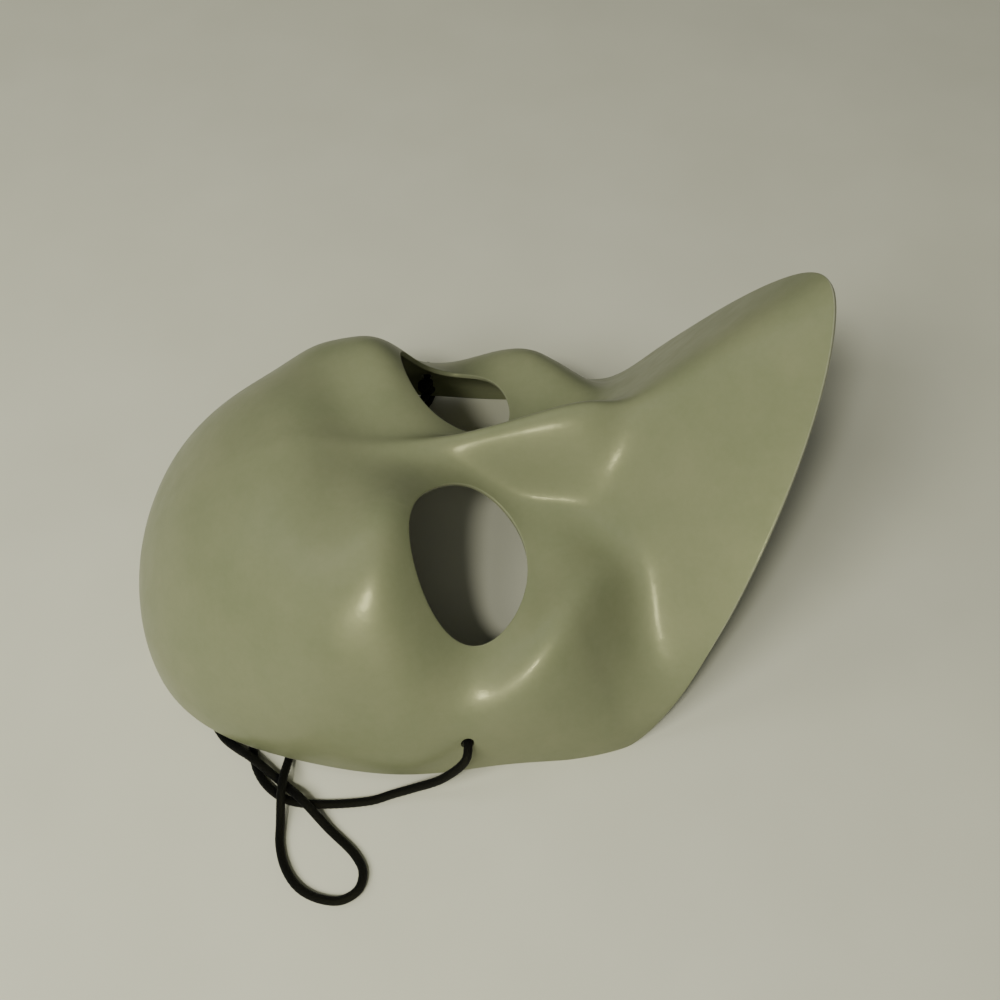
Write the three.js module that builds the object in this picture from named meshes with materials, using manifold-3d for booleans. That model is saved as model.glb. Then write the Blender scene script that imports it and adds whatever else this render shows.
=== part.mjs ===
// A moulded full-face theatre mask, lying on its rim with the face upwards.
// Millimetres. +Z is up, +X runs from the forehead to the chin, and Y runs across the face.
// The origin is on the ground, under the middle of the outline.
import * as THREE from "three";
import { mergeVertices } from "three/addons/utils/BufferGeometryUtils.js";
import Module from "manifold-3d";

// Plan outline: its radius at each angle, counted from the chin round to the forehead
const OUTLINE = [
  { deg: 0, radius: 113.7 },
  { deg: 20, radius: 108.9 },
  { deg: 40, radius: 102.0 },
  { deg: 60, radius: 92.0 },
  { deg: 90, radius: 82.8 },
  { deg: 120, radius: 91.3 },
  { deg: 150, radius: 109.0 },
  { deg: 180, radius: 114.8 },
];

// Shell
const WALL = 1.8;
const WALL_RISE = 0.42;
const WALL_POWER_FOREHEAD = 3.0;
const WALL_POWER_SIDE = 4.15;
const WALL_TURN = 0.3;

// Rim: flat on the ground at the forehead and the jaw, arched at the temples, rising along the prow
const RIM = { prowEnd: 33, jaw: 56, archStart: 68, archEnd: 168, archHeight: 5.6 };

// Face: a dome with brows, temples, a nasion, eye sockets, cheekbones and hollows below them
const DOME = { height: 86.8, x: -30.5, alongBack: 0.0034, alongFront: 0.0039, across: 0.0054, blend: 15 };
const BROW = { height: 15.9, x: -28.7, y: 47.1, alongX: 22.6, alongY: 11.7, turn: -0.9 };
const TEMPLE = { height: -7.0, x: -33.0, y: 45.9, alongX: 9.0, alongY: 23.3, turn: 0 };
const NASION = { depth: 11.5, x: -16.3, alongX: 15.5, alongY: 16.5 };
const SOCKET = { height: -20.4, x: 12.2, y: 39.0, alongX: 17.0, alongY: 34.0, turn: 0.375 };
const CHEEK_SLOPE = { height: 52.1, fall: 0.79, turn: 0.1, x: 35, y: 50, round: 10, blend: 7.9 };
const CHEEKBONE = { height: 14.8, x: 31.5, y: 62.1, alongX: 9.85, alongY: 46.0, turn: 0.757 };
const HOLLOW = { height: -4.1, x: 53.9, y: 52.7, alongX: 9.3, alongY: 10.0, turn: 0.62 };

// Nose: a straight ridge that ends in a short underside, its flanks steepest up by the eyes
const NOSE = {
  tipX: 47.9, tipZ: 92.0, bridgeSlope: 0.375, undersideSlope: 1.065, tipRound: 13.7,
  flankSlope: 3.27, flankEase: -0.07, flankLeast: 1.6, flankBlend: 0.6, ridgeRound: 7.5, blend: 10.0,
};

// Prow: the long beak-like front below the nose, a rounded ridge that climbs to the chin edge
const PROW = {
  tipZ: 134.7, climb: 0.78, sag: -0.0039, flank: 1.036, bow: 0.0026,
  ridgeRound: 6.0, edgeRound: 13.9, roundStart: 40, blend: 19.0,
};

// Eye hole in plan, an oval turned a little
const EYE = { x: 4.9, y: 34.9, halfX: 18.1, halfY: 23.5, turn: -0.2 };

// Cord and its two end knots
const CORD_DIAMETER = 3.0;
const CORD_REACH = { inward: 1.5, outward: 2.0 };
const HOLE_DIAMETER = 4.4;
const HOLE_SIDES = 14;
const HOLE_NEAR = { deg: -90.25, ratio: 0.974 };
const HOLE_FAR = { deg: 93.8, ratio: 0.978 };
const KNOT = { radius: 3.9, squash: 0.85, gap: 0.35, tail: 9.0, tailDiameter: 2.9 };
const CORD_STEPS = 79;
const CORD_SIDES = 8;

// Faces of the shell: columns round the face, rows from its middle to the rim, sides of an eye cutter
const COLUMNS = 72;
const ROWS = 20;
const EYE_SIDES = 40;

const DEG = Math.PI / 180;

// Smooth maximum, minimum and absolute value, rounded over about the given width
const smoothMax = (a, b, width) => 0.5 * (a + b + Math.hypot(a - b, width));
const smoothMin = (a, b, width) => 0.5 * (a + b - Math.hypot(a - b, width));
const smoothAbs = (value, width) => Math.hypot(value, width) - width;
const clamp = (value, low, high) => Math.min(high, Math.max(low, value));
const mix = (a, b, t) => a + (b - a) * t;
const smoothStep = (t) => t * t * (3 - 2 * t);

// Cosine series through the named radii, solved once by elimination
function outlineSeries() {
  const size = OUTLINE.length;
  const rows = OUTLINE.map(({ deg, radius }) => {
    const terms = Array.from({ length: size }, (_, k) => Math.cos(k * deg * DEG));
    return [...terms, radius];
  });
  for (let col = 0; col < size; col++) {
    const best = rows.slice(col).reduce((top, row) => (Math.abs(row[col]) > Math.abs(top[col]) ? row : top));
    rows.splice(rows.indexOf(best), 1);
    rows.splice(col, 0, best);
    for (let row = 0; row < size; row++) {
      if (row === col) continue;
      const factor = rows[row][col] / rows[col][col];
      rows[row] = rows[row].map((value, k) => value - factor * rows[col][k]);
    }
  }
  return rows.map((row, k) => row[size] / row[k]);
}
const SERIES = outlineSeries();
const outline = (phi) => SERIES.reduce((sum, term, k) => sum + term * Math.cos(k * phi), 0);

// A rounded swelling or dip on each side of the centre line
function bump({ height, x: bx, y: by, alongX, alongY, turn }, x, y) {
  const cos = Math.cos(turn);
  const sin = Math.sin(turn);
  let sum = 0;
  for (const side of [1, -1]) {
    const dx = x - bx;
    const dy = side * y - by;
    sum += Math.exp(-0.5 * (((cos * dx + sin * dy) / alongX) ** 2 + ((-sin * dx + cos * dy) / alongY) ** 2));
  }
  return height * sum;
}

// Height of the dome and what swells or dips on it
function faceHeight(x, y) {
  const back = x - DOME.x;
  const along = mix(DOME.alongBack, DOME.alongFront, 0.5 * (1 + Math.tanh(back / DOME.blend)));
  let z = DOME.height - along * back ** 2 - DOME.across * y ** 2;
  z += bump(BROW, x, y) + bump(TEMPLE, x, y) + bump(SOCKET, x, y);
  z -= NASION.depth * Math.exp(-0.5 * (((x - NASION.x) / NASION.alongX) ** 2 + (y / NASION.alongY) ** 2));
  const down = (x - CHEEK_SLOPE.x) * Math.cos(CHEEK_SLOPE.turn)
    + (smoothAbs(y, CHEEK_SLOPE.round) - CHEEK_SLOPE.y) * Math.sin(CHEEK_SLOPE.turn);
  z = smoothMin(z, CHEEK_SLOPE.height - CHEEK_SLOPE.fall * down, CHEEK_SLOPE.blend);
  return z + bump(CHEEKBONE, x, y) + bump(HOLLOW, x, y);
}

function noseHeight(x, y) {
  const past = x - NOSE.tipX;
  const bridge = NOSE.tipZ + NOSE.bridgeSlope * past;
  const underside = NOSE.tipZ - NOSE.undersideSlope * past;
  const slope = smoothMax(NOSE.flankSlope + NOSE.flankEase * past, NOSE.flankLeast, NOSE.flankBlend);
  return smoothMin(bridge, underside, NOSE.tipRound) - slope * smoothAbs(y, NOSE.ridgeRound);
}

function prowHeight(x, y) {
  const chin = OUTLINE[0].radius;
  const forward = clamp((x - PROW.roundStart) / (chin - PROW.roundStart), 0, 1.2);
  const round = mix(PROW.ridgeRound, PROW.edgeRound, forward ** 2);
  const back = x - chin;
  const aside = smoothAbs(y, round);
  return PROW.tipZ + PROW.climb * back + PROW.sag * back ** 2 - PROW.flank * aside - PROW.bow * aside ** 2;
}

// Front surface before the side walls turn down
function frontHeight(x, y) {
  const face = smoothMax(faceHeight(x, y), noseHeight(x, y), NOSE.blend);
  return smoothMax(face, prowHeight(x, y), PROW.blend);
}

// Share of the rim that follows the prow, 1 at the chin and 0 from the jaw back
const prowShare = (deg) => smoothStep(clamp((RIM.jaw - deg) / (RIM.jaw - RIM.prowEnd), 0, 1));

function archHeight(deg) {
  const along = clamp((deg - RIM.archStart) / (RIM.archEnd - RIM.archStart), 0, 1);
  return RIM.archHeight * Math.sin(along * Math.PI);
}

// Point of the outer skin at an angle and at a ratio of the outline's radius
function skin(ratio, phi) {
  const deg = Math.abs(Math.atan2(Math.sin(phi), Math.cos(phi))) / DEG;
  const radius = outline(phi);
  const x = radius * ratio * Math.cos(phi);
  const y = radius * ratio * Math.sin(phi);
  const share = prowShare(deg);
  const edge = frontHeight(radius * Math.cos(phi), radius * Math.sin(phi));
  const rim = share * edge + (1 - share) * archHeight(deg);
  const side = deg < 90 ? 1 : smoothAbs(Math.sin(phi), WALL_TURN) / smoothAbs(1, WALL_TURN);
  const power = mix(WALL_POWER_FOREHEAD, WALL_POWER_SIDE, side);
  const wall = Math.max(0, 1 - ratio ** power) ** WALL_RISE;
  const rise = mix(wall, 1, share);
  return new THREE.Vector3(x, y, rim + rise * (frontHeight(x, y) - rim));
}

function skinAt(x, y) {
  const phi = Math.atan2(y, x);
  const ratio = Math.min(1, Math.hypot(x, y) / outline(phi));
  return skin(ratio, phi);
}

// Outward normal of the skin: level where the rim stands on the ground, so its foot is flat
function normalAt(x, y) {
  const phi = Math.atan2(y, x);
  const ratio = Math.min(1, Math.hypot(x, y) / outline(phi));
  let normal;
  if (ratio < 0.5) {
    const step = 0.1;
    const slopeX = (skinAt(x + step, y).z - skinAt(x - step, y).z) / (2 * step);
    const slopeY = (skinAt(x, y + step).z - skinAt(x, y - step).z) / (2 * step);
    normal = new THREE.Vector3(-slopeX, -slopeY, 1);
  } else {
    const turn = 0.002;
    const inward = skin(ratio - 0.003, phi);
    const outward = skin(Math.min(1, ratio + 0.003), phi);
    const around = skin(ratio, phi + turn).sub(skin(ratio, phi - turn));
    normal = new THREE.Vector3().crossVectors(outward.sub(inward), around);
  }
  normal.normalize();
  if (ratio > 0.9999) normal.z *= prowShare(Math.abs(phi) / DEG);
  return normal.normalize();
}

// Closed shell of the whole face, before the eyes and the cord holes are cut
function shellGeometry() {
  const positions = [];
  const indices = [];
  const put = (point) => positions.push(point.x, point.y, point.z) / 3 - 1;
  const pair = (ratio, phi) => {
    const outer = skin(ratio, phi);
    const inner = outer.clone().addScaledVector(normalAt(outer.x, outer.y), -WALL);
    return [put(outer), put(inner)];
  };
  const middle = pair(0, 0);
  const rings = Array.from({ length: ROWS }, (_, row) => {
    const ratio = Math.sin(((row + 1) / ROWS) * 0.5 * Math.PI);
    return Array.from({ length: COLUMNS }, (_, col) => pair(ratio, (2 * Math.PI * col) / COLUMNS));
  });
  const quad = (a, b, c, d) => indices.push(a, b, c, a, c, d);
  for (let col = 0; col < COLUMNS; col++) {
    const next = (col + 1) % COLUMNS;
    indices.push(middle[0], rings[0][col][0], rings[0][next][0]);
    indices.push(middle[1], rings[0][next][1], rings[0][col][1]);
    for (let row = 0; row < ROWS - 1; row++) {
      const low = rings[row];
      const high = rings[row + 1];
      quad(low[col][0], high[col][0], high[next][0], low[next][0]);
      quad(low[col][1], low[next][1], high[next][1], high[col][1]);
    }
    const rim = rings[ROWS - 1];
    quad(rim[col][0], rim[col][1], rim[next][1], rim[next][0]);
  }
  const geometry = new THREE.BufferGeometry();
  geometry.setAttribute("position", new THREE.Float32BufferAttribute(positions, 3));
  geometry.setIndex(indices);
  return geometry;
}

// Upright cutter in the plan of one eye hole, tall enough to pass through the face
function eyeCutter(side) {
  const plan = new THREE.Shape();
  const cos = Math.cos(EYE.turn);
  const sin = Math.sin(EYE.turn);
  for (let i = 0; i < EYE_SIDES; i++) {
    const angle = (2 * Math.PI * i) / EYE_SIDES;
    const localY = EYE.halfY * Math.sin(angle);
    const localX = EYE.halfX * Math.cos(angle);
    const x = EYE.x + cos * localX + sin * localY;
    const y = side * (EYE.y - sin * localX + cos * localY);
    if (i === 0) plan.moveTo(x, y);
    else plan.lineTo(x, y);
  }
  plan.closePath();
  return new THREE.ExtrudeGeometry(plan, { depth: DOME.height + BROW.height, bevelEnabled: false });
}

const wasm = await Module();
wasm.setup();

function toSolid(geometry) {
  const bare = geometry.clone();
  bare.deleteAttribute("normal");
  bare.deleteAttribute("uv");
  const merged = mergeVertices(bare, 1e-4);
  const mesh = new wasm.Mesh({
    numProp: 3,
    vertProperties: Float32Array.from(merged.attributes.position.array),
    triVerts: Uint32Array.from(merged.index.array),
  });
  return new wasm.Manifold(mesh);
}

function toGeometry(solid) {
  const mesh = solid.getMesh();
  const geometry = new THREE.BufferGeometry();
  geometry.setAttribute("position", new THREE.Float32BufferAttribute(mesh.vertProperties, 3));
  geometry.setIndex(Array.from(mesh.triVerts));
  geometry.computeVertexNormals();
  return geometry;
}

// Cord hole: its centre on the outer skin and the way out
function holeAxis({ deg, ratio }) {
  const centre = skin(ratio, deg * DEG);
  return { centre, out: normalAt(centre.x, centre.y) };
}

function drill(hole) {
  const { centre, out } = holeAxis(hole);
  const bit = new THREE.CylinderGeometry(HOLE_DIAMETER / 2, HOLE_DIAMETER / 2, 8 * WALL, HOLE_SIDES);
  bit.applyQuaternion(new THREE.Quaternion().setFromUnitVectors(new THREE.Vector3(0, 1, 0), out));
  bit.translate(centre.x, centre.y, centre.z);
  return toSolid(bit);
}

function maskShell() {
  let solid = toSolid(shellGeometry());
  for (const side of [1, -1]) solid = solid.subtract(toSolid(eyeCutter(side)));
  for (const hole of [HOLE_NEAR, HOLE_FAR]) solid = solid.subtract(drill(hole));
  return toGeometry(solid);
}

// Route of the cord from the near knot out of its hole, over the ground, through the loop, under the
// rim, across the hollow and up outside the far wall to the other hole
const ROUTE = [
  [-1.4, -85.8, 18.4],
  [-9.5, -88.3, 10.8],
  [-19.3, -88.4, 5.2],
  [-25.9, -88.9, 3.1],
  [-34.5, -90.2, 1.8],
  [-58.5, -88.3, 1.6],
  [-66.8, -83.0, 1.6],
  [-71.7, -74.8, 1.6],
  [-73.4, -60.0, 1.6],
  [-74.3, -41.2, 1.6],
  [-80.9, -37.4, 1.6],
  [-87.5, -41.2, 1.6],
  [-88.6, -51.5, 1.6],
  [-83.4, -62.6, 1.6],
  [-77.5, -68.6, 3.0],
  [-73.3, -72.4, 5.1],
  [-61.9, -82.4, 2.8],
  [-56.2, -88.6, 5.2],
  [-47.8, -98.0, 1.9],
  [-38.9, -108.0, 1.6],
  [-36.6, -113.6, 1.6],
  [-38.2, -119.0, 1.6],
  [-43.5, -121.9, 1.6],
  [-50.5, -120.8, 1.6],
  [-57.0, -116.8, 1.6],
  [-61.2, -110.4, 1.6],
  [-63.2, -102.6, 1.6],
  [-63.1, -95.4, 2.4],
  [-62.2, -83.8, 6.4],
  [-60.2, -71.0, 2.1],
  [-58.6, -62.0, 1.6],
  [-33.5, 32.0, 1.6],
  [-24.5, 52.0, 1.6],
  [-5.4, 81.0, 1.6],
  [-4.2, 83.6, 1.8],
  [-3.4, 85.8, 2.8],
  [-3.0, 87.4, 4.9],
  [-3.0, 88.1, 7.7],
  [-4.7, 87.8, 15.3],
  [-5.2, 85.1, 18.2],
];

// Whole route: straight through both holes, leaning down a little in them, never below the ground
function cordPath() {
  const ends = [HOLE_NEAR, HOLE_FAR].map((hole) => {
    const { centre, out } = holeAxis(hole);
    const middle = centre.clone().addScaledVector(out, -WALL / 2);
    const lean = out.clone().add(new THREE.Vector3(0, 0, -0.2)).normalize();
    const stops = [-CORD_REACH.inward, CORD_REACH.outward];
    return stops.map((distance) => middle.clone().addScaledVector(lean, distance));
  });
  const route = ROUTE.map((point) => new THREE.Vector3(...point));
  const rough = new THREE.CatmullRomCurve3([...ends[0], ...route, ...ends[1].reverse()], false, "centripetal");
  const points = rough.getSpacedPoints(2 * CORD_STEPS);
  points.forEach((point) => point.setZ(Math.max(point.z, CORD_DIAMETER / 2)));
  return new THREE.CatmullRomCurve3(points, false, "centripetal");
}

function cordTube() {
  const section = new THREE.Shape();
  for (let i = 0; i < CORD_SIDES; i++) {
    const angle = ((i + 0.5) / CORD_SIDES) * 2 * Math.PI;
    const x = (CORD_DIAMETER / 2) * Math.cos(angle);
    const y = (CORD_DIAMETER / 2) * Math.sin(angle);
    if (i === 0) section.moveTo(x, y);
    else section.lineTo(x, y);
  }
  section.closePath();
  return new THREE.ExtrudeGeometry(section, { steps: CORD_STEPS, extrudePath: cordPath(), bevelEnabled: false });
}

// Overhand knot inside the wall, with its short cut end hanging towards the forehead
function endKnot(hole) {
  const { centre, out } = holeAxis(hole);
  const inside = WALL + 3 * KNOT.gap + KNOT.radius * KNOT.squash;
  const middle = centre.clone().addScaledVector(out, -inside);
  const ball = new THREE.SphereGeometry(KNOT.radius, 12, 8);
  ball.scale(1, KNOT.squash, 1);
  ball.applyQuaternion(new THREE.Quaternion().setFromUnitVectors(new THREE.Vector3(0, 1, 0), out));
  const tail = new THREE.CylinderGeometry(KNOT.tailDiameter / 2, KNOT.tailDiameter / 2, KNOT.tail, CORD_SIDES);
  tail.translate(0, KNOT.tail / 2, 0);
  const lean = new THREE.Vector3(-0.53, -0.42 * Math.sign(hole.deg), -0.74).normalize();
  tail.applyQuaternion(new THREE.Quaternion().setFromUnitVectors(new THREE.Vector3(0, 1, 0), lean));
  const knot = toGeometry(toSolid(ball).add(toSolid(tail)));
  knot.translate(middle.x, middle.y, middle.z);
  return knot;
}

const plastic = new THREE.MeshStandardMaterial({ color: 0x9a9a78, roughness: 0.38, metalness: 0 });
const elastic = new THREE.MeshStandardMaterial({ color: 0x141416, roughness: 0.8, metalness: 0 });

function named(name, geometry, material) {
  const mesh = new THREE.Mesh(geometry, material);
  mesh.name = name;
  return mesh;
}

const mask = new THREE.Group();
mask.add(named("mask_shell", maskShell(), plastic));
mask.add(named("elastic_cord", cordTube(), elastic));
mask.add(named("knot_near", endKnot(HOLE_NEAR), elastic));
mask.add(named("knot_far", endKnot(HOLE_FAR), elastic));

export default mask;
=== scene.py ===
"""A blank full-face theatre mask in thin moulded plastic, lying face up, with its black elastic cord.

Everything is in metres in the row frame: +X from the forehead to the chin, +Z up out of the face.
The form's own numbers are in millimetres and are the same as those of the solids.
"""
import math

import bpy
import numpy as np
from mathutils import Matrix, Vector


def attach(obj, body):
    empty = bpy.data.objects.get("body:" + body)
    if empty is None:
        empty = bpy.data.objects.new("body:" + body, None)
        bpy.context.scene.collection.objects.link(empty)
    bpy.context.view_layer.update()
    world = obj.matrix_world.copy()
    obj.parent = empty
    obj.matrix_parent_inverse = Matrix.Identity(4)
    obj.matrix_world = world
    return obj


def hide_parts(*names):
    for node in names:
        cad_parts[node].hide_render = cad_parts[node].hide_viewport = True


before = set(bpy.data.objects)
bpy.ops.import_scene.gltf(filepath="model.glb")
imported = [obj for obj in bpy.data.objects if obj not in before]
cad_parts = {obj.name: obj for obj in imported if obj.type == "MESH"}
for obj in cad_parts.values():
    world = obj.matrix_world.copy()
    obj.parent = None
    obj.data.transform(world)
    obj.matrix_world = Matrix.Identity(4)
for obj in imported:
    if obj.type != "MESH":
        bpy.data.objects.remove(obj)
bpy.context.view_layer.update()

# Metres in a millimetre
MM = 0.001


def put(name, data):
    """Object at the origin that carries the data, linked to the scene."""
    thing = bpy.data.objects.new(name, data)
    bpy.context.scene.collection.objects.link(thing)
    return thing


# Camera, in degrees and millimetres: where the photograph was taken from
CAMERA_AZIMUTH = -4.682
CAMERA_ELEVATION = 54.479
CAMERA_ROLL = -0.286
CAMERA_PLACE = (-2.60, -241.61, 380.52)
CAMERA_LENS = 42.97
SENSOR_WIDTH = 36.0


def make_camera():
    """Camera looking down on the mask from its near side, rolled a little about its own axis."""
    azimuth, elevation, roll = map(math.radians, (CAMERA_AZIMUTH, CAMERA_ELEVATION, CAMERA_ROLL))
    look = Vector((
        -math.sin(azimuth) * math.cos(elevation),
        math.cos(azimuth) * math.cos(elevation),
        -math.sin(elevation),
    ))
    level = Vector((math.cos(azimuth), math.sin(azimuth), 0.0))
    upright = level.cross(look)
    right = level * math.cos(roll) + upright * math.sin(roll)
    up = upright * math.cos(roll) - level * math.sin(roll)
    data = bpy.data.cameras.new("camera")
    data.sensor_width = SENSOR_WIDTH
    data.lens = CAMERA_LENS
    data.clip_start = 0.01
    data.clip_end = 20.0
    camera = put("camera", data)
    turn = Matrix((right, up, -look)).transposed()
    camera.matrix_world = Matrix.Translation(Vector(CAMERA_PLACE) * MM) @ turn.to_4x4()
    bpy.context.scene.camera = camera


# Form of the face, in millimetres, as in the solids
OUTLINE_DEG = (0, 20, 40, 60, 90, 120, 150, 180)
OUTLINE_RADIUS = (113.7, 108.9, 102.0, 92.0, 82.8, 91.3, 109.0, 114.8)

WALL = 1.8
WALL_RISE = 0.42
WALL_POWER_FOREHEAD = 3.0
WALL_POWER_SIDE = 4.15
WALL_TURN = 0.3

RIM = dict(prow_end=33, jaw=56, arch_start=68, arch_end=168, arch_height=5.6)
DOME = dict(height=86.8, x=-30.5, back=0.0034, front=0.0039, across=0.0054, blend=15)
BROW = dict(height=15.9, x=-28.7, y=47.1, along_x=22.6, along_y=11.7, turn=-0.9)
TEMPLE = dict(height=-7.0, x=-33.0, y=45.9, along_x=9.0, along_y=23.3, turn=0)
NASION = dict(depth=11.5, x=-16.3, along_x=15.5, along_y=16.5)
SOCKET = dict(height=-20.4, x=12.2, y=39.0, along_x=17.0, along_y=34.0, turn=0.375)
CHEEK_SLOPE = dict(height=52.1, fall=0.79, turn=0.10, x=35, y=50, round=10, blend=7.9)
CHEEKBONE = dict(height=14.8, x=31.5, y=62.1, along_x=9.85, along_y=46.0, turn=0.757)
HOLLOW = dict(height=-4.1, x=53.9, y=52.7, along_x=9.3, along_y=10.0, turn=0.62)
NOSE = dict(
    tip_x=47.9, tip_z=92.0, bridge=0.375, underside=1.065, tip_round=13.7,
    flank=3.27, flank_ease=-0.07, flank_least=1.6, flank_blend=0.6, ridge_round=7.5, blend=10.0,
)
PROW = dict(
    tip_z=134.7, climb=0.780, sag=-0.0039, flank=1.036, bow=0.0026,
    ridge_round=6.0, edge_round=13.9, round_start=40, round_most=1.2, blend=19.0,
)
EYE = dict(x=4.9, y=34.9, half_x=18.1, half_y=23.5, turn=-0.2)

# The skin's normal: steps in plan up to the middle ratio, round and outwards beyond, and level past the rim's
GROUND_STEP = 0.1
TURN_STEP = 0.002
RATIO_STEP = 0.002
MIDDLE_RATIO = 0.5
RIM_RATIO = 0.99995


def smooth_max(a, b, width):
    """Higher of the two, with the crease between them rounded over about the width."""
    return 0.5 * (a + b + np.hypot(a - b, width))


def smooth_min(a, b, width):
    """Lower of the two, with the crease between them rounded over about the width."""
    return 0.5 * (a + b - np.hypot(a - b, width))


def smooth_abs(value, width):
    """Distance from zero, with the crease at zero rounded over about the width."""
    return np.hypot(value, width) - width


def mix(a, b, t):
    """First value at t = 0 and second at t = 1."""
    return a + (b - a) * t


def smooth_step(t):
    """From 0 to 1 with a soft start and a soft end."""
    return t * t * (3 - 2 * t)


# Cosine series through the outline's named radii
ORDERS = np.arange(len(OUTLINE_DEG))
SERIES = np.linalg.solve(np.cos(np.radians(np.outer(OUTLINE_DEG, ORDERS))), OUTLINE_RADIUS)


def outline(phi):
    """Radius of the plan outline: a cosine series through the named radii."""
    return sum(term * np.cos(k * phi) for k, term in zip(ORDERS, SERIES))


def bump(form, x, y):
    """Swelling or dip on each side of the centre line: its height times exp(-(along^2 + across^2) / 2)."""
    cos, sin = math.cos(form["turn"]), math.sin(form["turn"])
    total = 0.0
    for side in (1, -1):
        dx, dy = x - form["x"], side * y - form["y"]
        along = (cos * dx + sin * dy) / form["along_x"]
        across = (-sin * dx + cos * dy) / form["along_y"]
        total = total + np.exp(-0.5 * (along**2 + across**2))
    return form["height"] * total


def face_height(x, y):
    """Dome minus its falls along and across, plus brows, temples and sockets, cut by the cheek's slope."""
    back = x - DOME["x"]
    along = mix(DOME["back"], DOME["front"], 0.5 * (1 + np.tanh(back / DOME["blend"])))
    z = DOME["height"] - along * back**2 - DOME["across"] * y**2
    z = z + bump(BROW, x, y) + bump(TEMPLE, x, y) + bump(SOCKET, x, y)
    nasion = ((x - NASION["x"]) / NASION["along_x"]) ** 2 + (y / NASION["along_y"]) ** 2
    z = z - NASION["depth"] * np.exp(-0.5 * nasion)
    aside = smooth_abs(y, CHEEK_SLOPE["round"]) - CHEEK_SLOPE["y"]
    down = (x - CHEEK_SLOPE["x"]) * math.cos(CHEEK_SLOPE["turn"])
    down = down + aside * math.sin(CHEEK_SLOPE["turn"])
    z = smooth_min(z, CHEEK_SLOPE["height"] - CHEEK_SLOPE["fall"] * down, CHEEK_SLOPE["blend"])
    return z + bump(CHEEKBONE, x, y) + bump(HOLLOW, x, y)


def nose_height(x, y):
    """Lower of the straight bridge and the short underside, falling away on both flanks."""
    past = x - NOSE["tip_x"]
    bridge = NOSE["tip_z"] + NOSE["bridge"] * past
    underside = NOSE["tip_z"] - NOSE["underside"] * past
    slope = NOSE["flank"] + NOSE["flank_ease"] * past
    slope = smooth_max(slope, NOSE["flank_least"], NOSE["flank_blend"])
    return smooth_min(bridge, underside, NOSE["tip_round"]) - slope * smooth_abs(y, NOSE["ridge_round"])


def prow_height(x, y):
    """Ridge that climbs to the chin edge, rounder towards it, falling away on both flanks."""
    chin = OUTLINE_RADIUS[0]
    forward = (x - PROW["round_start"]) / (chin - PROW["round_start"])
    forward = np.clip(forward, 0, PROW["round_most"])
    rounding = mix(PROW["ridge_round"], PROW["edge_round"], forward**2)
    back = x - chin
    ridge = PROW["tip_z"] + PROW["climb"] * back + PROW["sag"] * back**2
    aside = smooth_abs(y, rounding)
    return ridge - PROW["flank"] * aside - PROW["bow"] * aside**2


def front_height(x, y):
    """Highest of the face, the nose and the prow, smoothly joined."""
    face = smooth_max(face_height(x, y), nose_height(x, y), NOSE["blend"])
    return smooth_max(face, prow_height(x, y), PROW["blend"])


def prow_share(deg):
    """1 where the rim follows the prow, 0 from the jaw back."""
    return smooth_step(np.clip((RIM["jaw"] - deg) / (RIM["jaw"] - RIM["prow_end"]), 0, 1))


def arch_height(deg):
    """Height of the rim's arch over the ground at the temples."""
    along = np.clip((deg - RIM["arch_start"]) / (RIM["arch_end"] - RIM["arch_start"]), 0, 1)
    return RIM["arch_height"] * np.sin(along * np.pi)


def skin(ratio, phi):
    """Outer skin at a share of the outline's radius and an angle: the front, turned down to the rim.

    Height is that of the rim plus a share of the front's height over it. The share is 1 along the prow, and
    elsewhere it rises from 0 at the rim as (1 - ratio ^ power) ^ rise, a wall that rounds into the face.
    """
    deg = np.degrees(np.abs(np.arctan2(np.sin(phi), np.cos(phi))))
    radius = outline(phi)
    x, y = radius * ratio * np.cos(phi), radius * ratio * np.sin(phi)
    share = prow_share(deg)
    edge = front_height(radius * np.cos(phi), radius * np.sin(phi))
    rim = share * edge + (1 - share) * arch_height(deg)
    side = smooth_abs(np.sin(phi), WALL_TURN) / smooth_abs(1.0, WALL_TURN)
    power = mix(WALL_POWER_FOREHEAD, WALL_POWER_SIDE, np.where(deg < 90, 1.0, side))
    wall = np.clip(1 - ratio**power, 0, None) ** WALL_RISE
    rise = mix(wall, 1, share)
    return np.stack([x, y, rim + rise * (front_height(x, y) - rim)], axis=-1)


def polar(x, y):
    """Share of the outline's radius and angle of a point in plan."""
    phi = np.arctan2(y, x)
    return np.minimum(1.0, np.hypot(x, y) / outline(phi)), phi


def unit(vectors):
    """The same directions at length 1."""
    return vectors / np.linalg.norm(vectors, axis=-1, keepdims=True)


def skin_normal(x, y):
    """Outward normal from small steps along the skin; level where the rim stands on the ground."""
    ratio, phi = polar(x, y)
    step = GROUND_STEP
    slope_x = skin(*polar(x + step, y))[..., 2] - skin(*polar(x - step, y))[..., 2]
    slope_y = skin(*polar(x, y + step))[..., 2] - skin(*polar(x, y - step))[..., 2]
    flat = np.stack([-slope_x, -slope_y, np.full_like(slope_x, 2 * step)], axis=-1)
    out = skin(np.minimum(1, ratio + RATIO_STEP), phi) - skin(ratio - RATIO_STEP, phi)
    around = skin(ratio, phi + TURN_STEP) - skin(ratio, phi - TURN_STEP)
    steep = np.cross(out, around)
    normal = unit(np.where((ratio < MIDDLE_RATIO)[..., None], unit(flat), unit(steep)))
    foot = np.where(ratio > RIM_RATIO, prow_share(np.degrees(np.abs(phi))), 1.0)
    normal[..., 2] *= foot
    return unit(normal)


# Shell's mesh: how many columns and rows it has, and the rounding of its cut edges
RIM_COLUMNS = 180
MIDDLE_COLUMNS = 192
ROWS = 92
INNER_STEP = 4
EDGE_ROUND = 0.4
EDGE_STEPS = 3

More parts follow.
